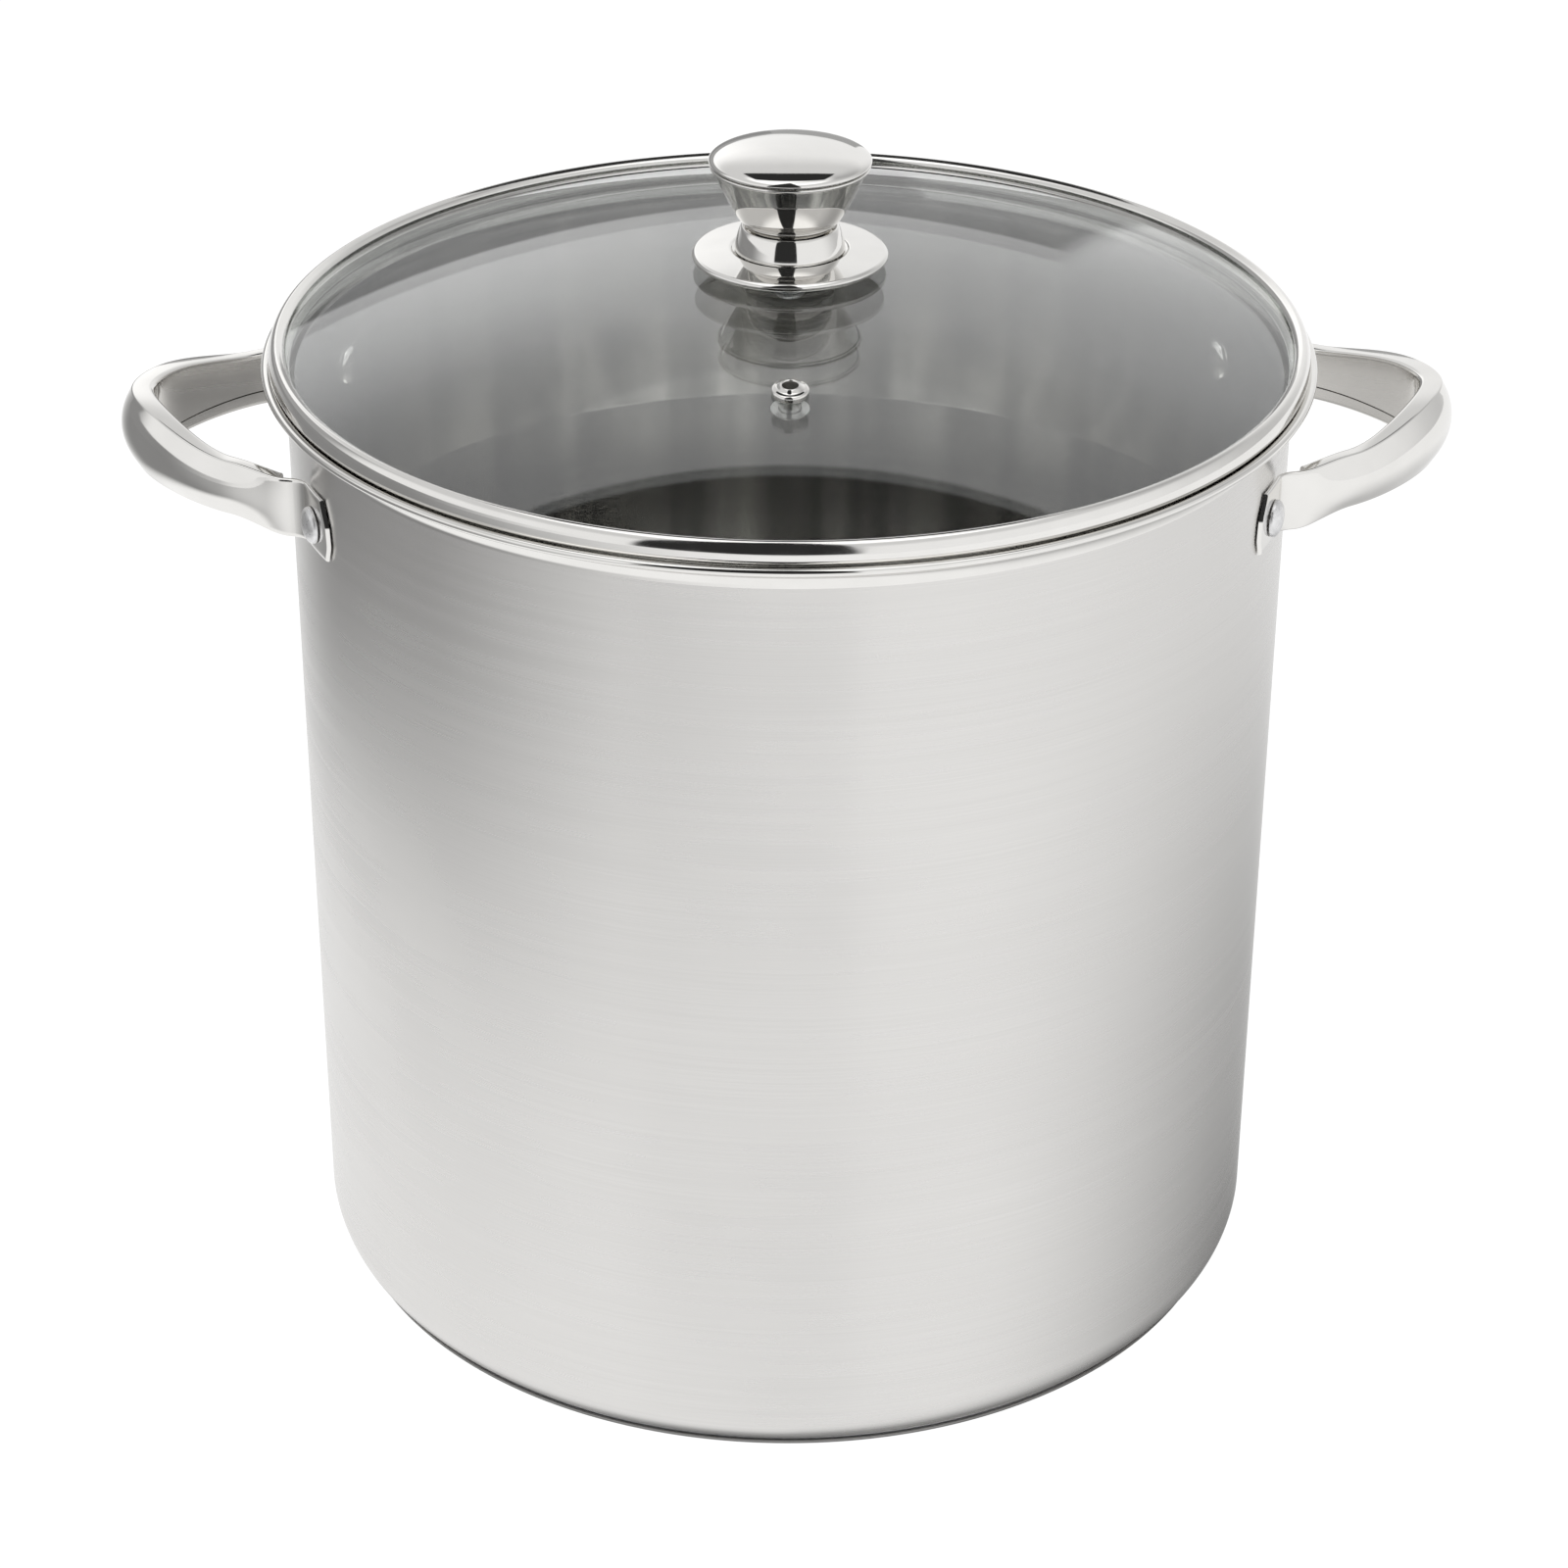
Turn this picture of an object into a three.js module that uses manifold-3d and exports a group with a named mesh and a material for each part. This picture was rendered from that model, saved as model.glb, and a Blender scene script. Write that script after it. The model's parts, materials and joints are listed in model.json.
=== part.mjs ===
// Stainless-steel stock pot with two riveted sheet handles and a vented glass lid.
// Millimetres, +Z up, origin at the centre of the underside, handles on the X axis.

import * as THREE from 'three';
import { mergeVertices } from 'three/addons/utils/BufferGeometryUtils.js';
import Module from 'manifold-3d';

const wasm = await Module();
wasm.setup();

// ---------------------------------------------------------------- driving dimensions

const BIG_SEGMENTS = 48;
const KNOB_SEGMENTS = 24;
const SMALL_SEGMENTS = 12;

// Pot
const WALL_R = 150;
const SHEET = 0.8;
const FLOOR_Z = 2.1;
const CORNER_R = 16;
const CORNER_SWEEP = 48;
const KNUCKLE_R = 4;
const FLARE_Z = 290.6;
const LIP_R = 157;
const LIP_BEAD_R = 1.2;
const RIM_Z = 299.3;

// Encapsulated base
const CAP_R = 144.4;
const CAP_SHEET = 0.5;
const CAP_RIM_Z = 1.5;
const CORE_R = 143.3;
const CORE_Z = [0.6, 2.0];

// Handles: a wrapped sheet tube whose outer face runs on into a riveted tab
const HANDLE_SHEET = 1.2;
const HANDLE_REACH = 197;
const HANDLE_BULGE = 3.6;
const HANDLE_SEAM_Z = 269;
const HANDLE_SEAM_GAP = 0.4;
const ARM_START = [165, 42.5];
const WRAP_END = [149.8, 51.3];
const TAB_SURFACE_R = 151.5;
const TAB_ANGLES = [21.2, 27.8];
const CREASE_ANGLE = 20.4;
const BEND_LEAD = [3.2, -0.9];
const TIP_HANDLE_Y = 13;
const SHOULDER = [17.2, -10.2];
const EDGE_CHAMFER = 1.6;
const RIDGE_CHAMFER = 0.6;
// Depth, top and bottom of the wrapped section at the tab, with what the arm and then the tip add
const SECTION = {
  tab: { depth: 5, top: 279.4, bottom: 261 },
  arm: { bulge: HANDLE_BULGE - 0.6, top: 1.8, bottom: 3.2 },
  tip: { depth: 2, bulge: 0.6, top: 6.3, bottom: 0.6 },
};
// (y, z) outline of what is trimmed off the tab's free end
const TAB_TRIM = [
  [66.3, 290], [66.3, 279.6], [69.6, 272.4], [70.2, 266], [68.6, 261.6], [67.2, 255], [80, 255], [80, 290],
];
const TRIM_REACH = [120, 150];
const HOLE_REACH = { wall: [140, 160], tab: [140, 162] };
const WRAP_CLEARANCE = { depth: 12, bottom: 250, top: 290, spare: 0.1, overrun: 3 };

// Rivets
const RIVET_ANGLE = 23.4;
const RIVET_Z = 268.9;
const RIVET_SHANK_R = 2.5;
const RIVET_HOLE_R = 2.8;
const RIVET_HEAD_R = 5.5;
const RIVET_HEAD_H = 2.6;
const RIVET_BACK_R = 6.2;
const RIVET_BACK_H = 2.0;
const RIVET_BACK_SPARE = 0.2;
const GAP = 0.3;

// Lid
const DOME_TOP_Z = 325.5;
const DOME_R = 522;
const GLASS_T = 4;
const GLASS_R = 151.2;
const GLASS_HOLE_R = 5;
const VENT_DISTANCE = 84;
const VENT_ANGLE = -91.4;
const VENT_HOLE_R = 3.4;

// Lid band: where it rests in the flare, its rolled outside, and the channel that grips the glass
const BAND_ROLL = { centre: [152.3, 300.8], rx: 2.6, rz: 5.1 };

// Knob, with the height at which each piece starts
const CAP_EQUATOR = [24, 357];
const CAP_CROWN = 4.8;
const CUP_BEAD = { centre: [23.05, 19.05], rx: 0.65, rz: 0.6 };
const CUP_Z = 336.6;
const COLLAR_Z = 330;
const FLANGE_Z = 326.8;
const INSERT_Z = 337.7;
const SCREW_Z = 314.8;
const SPRING_WASHER_Z = 317.9;
const SCREW_WASHER_Z = 319.2;
const GASKET_BOTTOM_Z = 320.3;
const GASKET_TOP_Z = 321.8;
const KNOB_SHEET = 0.8;
const BORE_R = 2.9;
const SCREW_R = 2.5;

// ---------------------------------------------------------------- helpers

const radians = THREE.MathUtils.degToRad;

/** Points on an elliptical arc in the (radius, height) plane, angles in degrees. */
function arc(centre, rx, rz, from, to, steps) {
  const points = [];
  for (let i = 0; i <= steps; i++) {
    const a = radians(from + ((to - from) * i) / steps);
    points.push([centre[0] + rx * Math.cos(a), centre[1] + rz * Math.sin(a)]);
  }
  return points;
}

const raised = (outline, height) => outline.map(([r, z]) => [r, z + height]);

/** Height of a sphere of the given radius about the dome's centre, at a distance from the axis. */
function domeZ(distance, radius = DOME_R) {
  return DOME_TOP_Z - DOME_R + Math.sqrt(radius * radius - distance * distance);
}

/** Solid of revolution about +Z from an anticlockwise (radius, height) outline. */
function revolve(outline, segments) {
  const touchesAxis = outline[0][0] === 0;
  const closed = touchesAxis ? outline : [...outline, outline[0]];
  const points = closed.map(([r, z]) => new THREE.Vector2(r, z));
  return new THREE.LatheGeometry(points, segments).rotateX(Math.PI / 2);
}

/** Manifold solid from a closed three.js geometry. */
function toSolid(geometry) {
  const bare = geometry.clone();
  bare.deleteAttribute('normal');
  bare.deleteAttribute('uv');
  const merged = mergeVertices(bare, 1e-4);
  const index = merged.index.array;
  const triangles = [];
  for (let i = 0; i < index.length; i += 3) {
    const [a, b, c] = index.slice(i, i + 3);
    if (a !== b && b !== c && c !== a) triangles.push(a, b, c);
  }
  return new wasm.Manifold(new wasm.Mesh({
    numProp: 3,
    vertProperties: merged.attributes.position.array,
    triVerts: new Uint32Array(triangles),
  }));
}

/** three.js geometry with every tool cut away from it. */
function cut(geometry, tools) {
  const result = tools.reduce((solid, tool) => solid.subtract(toSolid(tool)), toSolid(geometry));
  const mesh = result.getMesh();
  const output = new THREE.BufferGeometry();
  output.setAttribute('position', new THREE.BufferAttribute(mesh.vertProperties, 3));
  output.setIndex(new THREE.BufferAttribute(mesh.triVerts, 1));
  return output;
}

/** Closed skin through equal-length anticlockwise outlines placed at path stations. */
function loft(stations, outlineAt) {
  const outlines = stations.map(outlineAt);
  const around = outlines[0].length;
  const positions = [];
  stations.forEach((station, i) => {
    for (const [n, z] of outlines[i]) {
      positions.push(station.x + n * station.nx, station.y + n * station.ny, z);
    }
  });
  const index = [];
  for (let i = 0; i + 1 < stations.length; i++) {
    for (let k = 0; k < around; k++) {
      const a = i * around + k;
      const b = i * around + ((k + 1) % around);
      index.push(a, b + around, b, a, a + around, b + around);
    }
  }
  const last = (stations.length - 1) * around;
  const flat = (outline) => outline.map(([n, z]) => new THREE.Vector2(n, z));
  const lid = (outline) => THREE.ShapeUtils.triangulateShape(flat(outline), []);
  for (const [a, b, c] of lid(outlines[0])) index.push(a, b, c);
  for (const [a, b, c] of lid(outlines.at(-1))) index.push(last + a, last + c, last + b);
  const geometry = new THREE.BufferGeometry();
  geometry.setAttribute('position', new THREE.Float32BufferAttribute(positions, 3));
  geometry.setIndex(index);
  return geometry;
}

/** Cylinder lying on a radius of the pot at the given angle and height. */
function radialCylinder(radius, angle, z, from, to) {
  return new THREE.CylinderGeometry(radius, radius, to - from, SMALL_SEGMENTS)
    .rotateZ(-Math.PI / 2)
    .translate((from + to) / 2, 0, 0)
    .rotateZ(radians(angle))
    .translate(0, 0, z);
}

// ---------------------------------------------------------------- materials

const steel = (color, roughness) => new THREE.MeshStandardMaterial({ color, roughness, metalness: 1 });
const brushedSteel = () => steel(0xc9c8c4, 0.38);
const polishedSteel = () => steel(0xdcdcda, 0.08);
const rivetSteel = () => steel(0xd4d4d6, 0.45);
const zincSteel = () => steel(0xb9bbbd, 0.35);
const aluminium = () => steel(0xb4b5b6, 0.5);
const silicone = () => new THREE.MeshStandardMaterial({ color: 0xc8cac8, roughness: 0.6, metalness: 0 });
const clearGlass = () => new THREE.MeshStandardMaterial({
  color: 0xdfe8e4, roughness: 0.02, metalness: 0, transparent: true, opacity: 0.3,
});

// ---------------------------------------------------------------- pot

/** Deep-drawn shell: flat floor, rounded bottom corner, straight wall, flared rim with a bead. */
function potBody() {
  const cornerCentre = [WALL_R - CORNER_R, CORNER_R - 1];
  const reach = CORNER_R - KNUCKLE_R;
  const knuckle = [
    cornerCentre[0] + reach * Math.cos(radians(CORNER_SWEEP)),
    FLOOR_Z + KNUCKLE_R,
  ];
  const beadCentre = [LIP_R - LIP_BEAD_R, RIM_Z - LIP_BEAD_R];
  const flare = [beadCentre[0] - WALL_R, beadCentre[1] - LIP_BEAD_R - FLARE_Z];
  const innerR = WALL_R - SHEET;
  const outline = [
    [0, FLOOR_Z],
    ...arc(knuckle, KNUCKLE_R, KNUCKLE_R, -90, -CORNER_SWEEP, 1),
    ...arc(cornerCentre, CORNER_R, CORNER_R, -CORNER_SWEEP, 0, 3).slice(1),
    ...arc([beadCentre[0], FLARE_Z], flare[0], flare[1], 180, 90, 3),
    ...arc(beadCentre, LIP_BEAD_R, LIP_BEAD_R, -90, 90, 4).slice(1),
    ...arc([beadCentre[0], FLARE_Z], beadCentre[0] - innerR, RIM_Z - FLARE_Z, 90, 180, 3).slice(1),
    ...arc(cornerCentre, CORNER_R - SHEET, CORNER_R - SHEET, 0, -CORNER_SWEEP, 3),
    ...arc(knuckle, KNUCKLE_R - SHEET, KNUCKLE_R - SHEET, -CORNER_SWEEP, -90, 1).slice(1),
    [0, FLOOR_Z + SHEET],
  ];
  const rivetAngles = [0, 180].flatMap((side) => [side - RIVET_ANGLE, side + RIVET_ANGLE]);
  const holes = rivetAngles.map((angle) => radialCylinder(RIVET_HOLE_R, angle, RIVET_Z, ...HOLE_REACH.wall));
  return cut(revolve(outline, BIG_SEGMENTS), holes);
}

/** Aluminium heat-spreading disc sandwiched under the floor. */
function baseCore() {
  const [bottom, top] = CORE_Z;
  const bevel = 0.4;
  return revolve([
    [0, bottom],
    [CORE_R - bevel, bottom],
    [CORE_R, bottom + bevel],
    [CORE_R, top],
    [0, top],
  ], BIG_SEGMENTS);
}

/** Thin steel dish that closes the aluminium disc in from below. */
function baseCap() {
  const inner = CAP_R - CAP_SHEET;
  return revolve([
    [0, 0],
    [CAP_R - 0.5, 0],
    [CAP_R, 0.5],
    [CAP_R, CAP_RIM_Z],
    [inner, CAP_RIM_Z],
    [inner, CAP_SHEET],
    [0, CAP_SHEET],
  ], BIG_SEGMENTS);
}

// ---------------------------------------------------------------- handles

/** Half of the handle's plan path, from the tip to the free end of the tab at +Y. */
function halfHandlePath() {
  const [ax, ay] = ARM_START;
  const onTab = (angle) => [
    TAB_SURFACE_R * Math.cos(radians(angle)),
    TAB_SURFACE_R * Math.sin(radians(angle)),
  ];
  const vector = ([x, y]) => new THREE.Vector3(x, y, 0);
  const crease = onTab(CREASE_ANGLE);
  const bendStart = [crease[0] + BEND_LEAD[0], crease[1] + BEND_LEAD[1]];
  const tabStart = onTab(TAB_ANGLES[0]);
  const tabEnd = onTab(TAB_ANGLES[1]);
  const curves = [
    [new THREE.CubicBezierCurve3(
      new THREE.Vector3(HANDLE_REACH, 0, 0),
      new THREE.Vector3(HANDLE_REACH, TIP_HANDLE_Y, 0),
      new THREE.Vector3(ax + SHOULDER[0], ay + SHOULDER[1], 0),
      vector(ARM_START),
    ), 8],
    [new THREE.LineCurve3(vector(ARM_START), vector(WRAP_END)), 2],
    [new THREE.LineCurve3(vector(WRAP_END), vector(bendStart)), 1],
    [new THREE.QuadraticBezierCurve3(vector(bendStart), vector(crease), vector(tabStart)), 3],
    [new THREE.LineCurve3(vector(tabStart), vector(tabEnd)), 2],
  ];
  const stations = [];
  curves.forEach(([curve, steps], number) => {
    for (let i = number === 0 ? 0 : 1; i <= steps; i++) {
      const point = curve.getPoint(i / steps);
      const tangent = curve.getTangent(i / steps);
      stations.push({ x: point.x, y: point.y, nx: tangent.y, ny: -tangent.x });
    }
  });
  return stations;
}

/** All stations from the tab at -Y round the tip to the tab at +Y. */
function handleStations() {
  const half = halfHandlePath();
  const mirrored = half.slice(1).reverse().map((s) => ({ x: s.x, y: -s.y, nx: s.nx, ny: -s.ny }));
  return [...mirrored, ...half];
}

/** Depth, bulge, top and bottom of the wrapped section at a distance out from the pot's axis. */
function handleShape(x) {
  const outward = THREE.MathUtils.smoothstep(x, ARM_START[0], HANDLE_REACH);
  const fromTab = THREE.MathUtils.smoothstep(x, TAB_SURFACE_R - 6, ARM_START[0]);
  const { tab, arm, tip } = SECTION;
  return {
    depth: tab.depth + tip.depth * outward,
    bulge: arm.bulge * fromTab + tip.bulge * outward,
    top: tab.top + arm.top * fromTab + tip.top * outward,
    bottom: tab.bottom + arm.bottom * fromTab + tip.bottom * outward,
  };
}

/** Anticlockwise (outward, height) outline of the folded sheet, open at the seam. */
function wrappedOutline(station) {
  const { depth, bulge, top, bottom } = handleShape(station.x);
  const rise = (share) => bottom + (top - bottom) * share;
  const face = [[0.8 * bulge, rise(0.27)], [bulge, rise(0.5)], [0.8 * bulge, rise(0.73)]];
  const side = (inset, corner, ridge, seam) => [
    [-depth + inset, HANDLE_SEAM_Z - seam],
    [-depth + inset, bottom + corner],
    [-depth + corner, bottom + inset],
    [-ridge, bottom + inset],
    [-inset, bottom + ridge],
    ...face.map(([n, z]) => [n - inset, z]),
    [-inset, top - ridge],
    [-ridge, top - inset],
    [-depth + corner, top - inset],
    [-depth + inset, top - corner],
    [-depth + inset, HANDLE_SEAM_Z + seam],
  ];
  const seam = HANDLE_SEAM_GAP / 2;
  const inner = HANDLE_SHEET + 0.4;
  return [
    ...side(0, EDGE_CHAMFER, RIDGE_CHAMFER, seam),
    ...side(HANDLE_SHEET, inner + 0.4, inner, seam).reverse(),
  ];
}

/** Block that clears everything behind the outer face between the wrap's end and the tab's end. */
function wrapCutter() {
  const { depth, bottom, top, spare, overrun } = WRAP_CLEARANCE;
  const stations = halfHandlePath().filter(({ x }) => x <= WRAP_END[0]);
  const tail = stations.at(-1);
  stations.push({ ...tail, x: tail.x - overrun * tail.ny, y: tail.y + overrun * tail.nx });
  const face = spare - HANDLE_SHEET;
  return loft(stations, () => [[-depth, bottom], [face, bottom], [face, top], [-depth, top]]);
}

/** Prism outside the tab's slanted and rounded free end. */
function tabTrimmer() {
  const [from, to] = TRIM_REACH;
  const shape = new THREE.Shape(TAB_TRIM.map(([y, z]) => new THREE.Vector2(y, z)));
  return new THREE.ExtrudeGeometry(shape, { depth: to - from, bevelEnabled: false })
    .rotateX(Math.PI / 2)
    .rotateZ(Math.PI / 2)
    .translate(from, 0, 0);
}

/** The geometry seen across the X axis, with its faces turned the right way out again. */
function mirrorY(geometry) {
  const mirrored = geometry.clone().scale(1, -1, 1);
  const index = mirrored.index?.array ?? mirrored.attributes.position.array.map((_, i) => i);
  const count = mirrored.index ? index.length : mirrored.attributes.position.count;
  const flipped = [];
  for (let i = 0; i < count; i += 3) flipped.push(index[i], index[i + 2], index[i + 1]);
  mirrored.setIndex(flipped);
  return mirrored;
}

/** Folded-sheet loop handle at +X, with a riveted tab at each end. */
function handle() {
  const hole = radialCylinder(RIVET_HOLE_R, RIVET_ANGLE, RIVET_Z, ...HOLE_REACH.tab);
  const rear = [wrapCutter(), tabTrimmer(), hole];
  return cut(loft(handleStations(), wrappedOutline), [...rear, ...rear.map(mirrorY)]);
}

/** Rivet along +Z, zero on the tab: domed outer head, shank through tab and wall, low inner head. */
function rivet() {
  const head = GAP;
  const back = WALL_R - SHEET - TAB_SURFACE_R - GAP - RIVET_BACK_SPARE;
  return revolve([
    [0, back - RIVET_BACK_H],
    [RIVET_BACK_R * 0.55, back - RIVET_BACK_H * 0.9],
    [RIVET_BACK_R * 0.9, back - RIVET_BACK_H * 0.5],
    [RIVET_BACK_R, back],
    [RIVET_SHANK_R, back],
    [RIVET_SHANK_R, head],
    [RIVET_HEAD_R, head],
    [RIVET_HEAD_R * 0.92, head + RIVET_HEAD_H * 0.45],
    [RIVET_HEAD_R * 0.6, head + RIVET_HEAD_H * 0.88],
    [0, head + RIVET_HEAD_H],
  ], SMALL_SEGMENTS);
}

// ---------------------------------------------------------------- lid

/** Shallow tempered-glass dome with a centre hole and an off-centre vent hole. */
function lidGlass(ventMatrix) {
  const stops = [GLASS_HOLE_R, 30, 60, 90, 120, GLASS_R];
  const outline = [
    ...stops.map((r) => [r, domeZ(r, DOME_R - GLASS_T)]),
    ...stops.reverse().map((r) => [r, domeZ(r)]),
  ];
  const ventHole = new THREE.CylinderGeometry(VENT_HOLE_R, VENT_HOLE_R, 20, SMALL_SEGMENTS)
    .rotateX(Math.PI / 2)
    .applyMatrix4(ventMatrix);
  return cut(revolve(outline, BIG_SEGMENTS), [ventHole]);
}

/** Polished band rolled round the edge of the glass, with a shoulder that drops into the flared rim. */
function lidRim() {
  const { centre, rx, rz } = BAND_ROLL;
  return revolve([
    [148.4, 298.6],
    [150.0, 297.4],
    [151.2, 297.75],
    [152.6, 298.75],
    [154.4, 299.4],
    ...arc(centre, rx, rz, 0, 90, 5),
    [150.6, 305.1],
    [149.7, 304.4],
    [149.8, 303.9],
    [151.6, 303.5],
    [151.6, 298.4],
    [148.6, 299.3],
  ], BIG_SEGMENTS);
}

/** Eyelet along +Z, zero on the glass: stepped cap above, tube through, curled lip below. */
function ventEyelet() {
  return revolve([
    [2.25, -5.9], [4.3, -5.9], [4.3, -5.3], [3, -5.2], [3, 0.2], [5.4, 0.2],
    [5.4, 1.7], [4.9, 2.2], [3.9, 2.4], [3.2, 3.0], [2.7, 3.4], [2.25, 3.1],
  ], SMALL_SEGMENTS);
}

function ring(inner, outer, bottom, top, segments) {
  return revolve([[inner, bottom], [outer, bottom], [outer, top], [inner, top]], segments);
}

/** Flat washer on the screw. */
function washer(outer, height, bottom) {
  return ring(BORE_R, outer, bottom, bottom + height, KNOB_SEGMENTS);
}

// ---------------------------------------------------------------- knob

/** Low domed cap, a flattened ellipsoid down to its widest ring. */
function knobCap() {
  const [r, z] = CAP_EQUATOR;
  const t = KNOB_SHEET;
  const edge = z - GAP;
  const underside = arc([0, z], r - t, CAP_CROWN - t, 90, 0, 5).slice(1);
  const topside = arc([0, z], r, CAP_CROWN, 0, 90, 6).slice(0, -1);
  return revolve([
    [0, z + CAP_CROWN - t],
    ...underside,
    [r - t, edge],
    [r - 0.1, edge],
    ...topside,
    [0, z + CAP_CROWN],
  ], KNOB_SEGMENTS);
}

/** Bowl under the cap, with a flat floor on the collar and a beaded upper edge. */
function knobCup() {
  const bowl = new THREE.CubicBezierCurve(
    new THREE.Vector2(12.9, 0.7),
    new THREE.Vector2(16.4, 3.9),
    new THREE.Vector2(19.6, 10.6),
    new THREE.Vector2(22.6, 18),
  );
  const { centre, rx, rz } = CUP_BEAD;
  const outer = bowl.getPoints(4).map((p) => [p.x, p.y]);
  const inner = outer.slice(0, -1).map(([r, z]) => [r - KNOB_SHEET, z + 0.5]).reverse();
  return revolve(raised([
    [BORE_R, 0],
    [12, 0],
    ...outer,
    ...arc(centre, rx, rz, -110, 110, 3),
    ...inner.slice(0, -1),
    [11.6, KNOB_SHEET],
    [BORE_R, KNOB_SHEET],
  ], CUP_Z), KNOB_SEGMENTS);
}

/** Flared collar between the flange and the cup, closed by a recessed top plate. */
function knobCollar() {
  return revolve(raised([
    [15.7, 0], [16.5, 0], [15.95, 2.7], [15.15, 5.4], [14.5, 6.9], [14.1, 7.3], [13.7, 7.2],
    [13.4, 6.2], [BORE_R, 6.2], [BORE_R, 5.4], [13.6, 5.4], [15.1, 2.6],
  ], COLLAR_Z), KNOB_SEGMENTS);
}

/** Saucer on the glass: rolled rim, slight dome, a seat for the collar and a centre dished to the gasket. */
function knobFlange() {
  return revolve(raised([
    [BORE_R, 0], [11.9, 0], [13.1, 2.1], [17.2, 2.1], [17.6, 2.7], [28.3, 1.7], [28.3, 0.4], [28.8, 0.4],
    [29.2, 1.6], [28.3, 2.5], [17.6, 3.5], [17, 2.9], [12.5, 2.9], [11.5, 0.8], [BORE_R, 0.8],
  ], FLANGE_Z), KNOB_SEGMENTS);
}

/** Threaded post welded inside the cup, open at the bottom for the screw. */
function knobInsert() {
  return revolve(raised([
    [0, 9.1], [2.8, 9.1], [2.8, 0], [5.5, 0], [5.5, 9.9], [4.8, 10.5], [0, 10.5],
  ], INSERT_Z), SMALL_SEGMENTS);
}

/** Pan-head screw from below the glass, with a cross recess. */
function knobScrew() {
  const blank = revolve(raised([
    [0, 0], [3.6, 0.1], [4.75, 1.4], [4.75, 2.8], [SCREW_R, 2.8], [SCREW_R, 30.6], [1.9, 31.4], [0, 31.4],
  ], SCREW_Z), SMALL_SEGMENTS);
  const slot = new THREE.BoxGeometry(5, 0.9, 3.2).translate(0, 0, SCREW_Z);
  return cut(blank, [slot, slot.clone().rotateZ(Math.PI / 2)]);
}

/** Split lock washer under the screw head. */
function springWasher() {
  const split = new THREE.BoxGeometry(3, 0.6, 4).translate(4, 0, SPRING_WASHER_Z);
  return cut(washer(4.6, 1, SPRING_WASHER_Z), [split]);
}

/** Silicone washer on the glass, with a sleeve down through the hole. */
function gasketTop() {
  return revolve(raised([
    [2.8, 0], [4.6, 0], [4.6, 3.95], [13.5, 3.95], [13.5, 4.7], [2.8, 4.7],
  ], GASKET_TOP_Z), KNOB_SEGMENTS);
}

// ---------------------------------------------------------------- assembly

function part(name, geometry, material) {
  const mesh = new THREE.Mesh(geometry, material);
  mesh.name = name;
  return mesh;
}

const pot = new THREE.Group();
pot.add(part('pot_body', potBody(), brushedSteel()));
pot.add(part('base_core', baseCore(), aluminium()));
pot.add(part('base_cap', baseCap(), polishedSteel()));
for (const [side, turn] of [['right', 0], ['left', 180]]) {
  const mount = new THREE.Group();
  mount.rotation.z = radians(turn);
  mount.add(part(`handle_${side}`, handle(), polishedSteel()));
  for (const angle of [-RIVET_ANGLE, RIVET_ANGLE]) {
    const isFront = (angle < 0) === (side === 'right');
    const pin = part(`rivet_${side}_${isFront ? 'front' : 'rear'}`, rivet(), rivetSteel());
    const direction = new THREE.Vector3(Math.cos(radians(angle)), Math.sin(radians(angle)), 0);
    pin.quaternion.setFromUnitVectors(new THREE.Vector3(0, 0, 1), direction);
    pin.position.copy(direction).multiplyScalar(TAB_SURFACE_R).setZ(RIVET_Z);
    mount.add(pin);
  }
  pot.add(mount);
}

// The vent stands square to the dome at its own distance from the axis.
const vent = new THREE.Group();
const tilt = Math.asin(VENT_DISTANCE / DOME_R);
vent.rotation.set(0, tilt, radians(VENT_ANGLE), 'ZYX');
vent.position.set(
  VENT_DISTANCE * Math.cos(radians(VENT_ANGLE)),
  VENT_DISTANCE * Math.sin(radians(VENT_ANGLE)),
  domeZ(VENT_DISTANCE),
);
vent.updateMatrix();
vent.add(part('vent_eyelet', ventEyelet(), polishedSteel()));
vent.add(part('vent_back_ring', ring(3.3, 5.5, -5, -4.4, SMALL_SEGMENTS), polishedSteel()));

const lid = new THREE.Group();
lid.add(part('lid_rim', lidRim(), polishedSteel()));
lid.add(part('lid_glass', lidGlass(vent.matrix), clearGlass()));
lid.add(vent);
lid.add(part('knob_cap', knobCap(), polishedSteel()));
lid.add(part('knob_cup', knobCup(), polishedSteel()));
lid.add(part('knob_collar', knobCollar(), polishedSteel()));
lid.add(part('knob_flange', knobFlange(), polishedSteel()));
lid.add(part('knob_insert', knobInsert(), zincSteel()));
lid.add(part('knob_screw', knobScrew(), zincSteel()));
lid.add(part('spring_washer', springWasher(), zincSteel()));
lid.add(part('screw_washer', washer(9, 0.8, SCREW_WASHER_Z), zincSteel()));
lid.add(part('gasket_bottom', washer(10, 0.8, GASKET_BOTTOM_Z), silicone()));
lid.add(part('gasket_top', gasketTop(), silicone()));

const stockPot = new THREE.Group();
stockPot.add(pot, lid);

export default stockPot;
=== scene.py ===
"""Looks of a stainless-steel stock pot with a vented glass lid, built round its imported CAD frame.

Outlines are (radius, height) or (outward, height) pairs in millimetres; Blender objects are in metres.
"""

import json
import math

import bpy
from mathutils import Matrix, Vector


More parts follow.
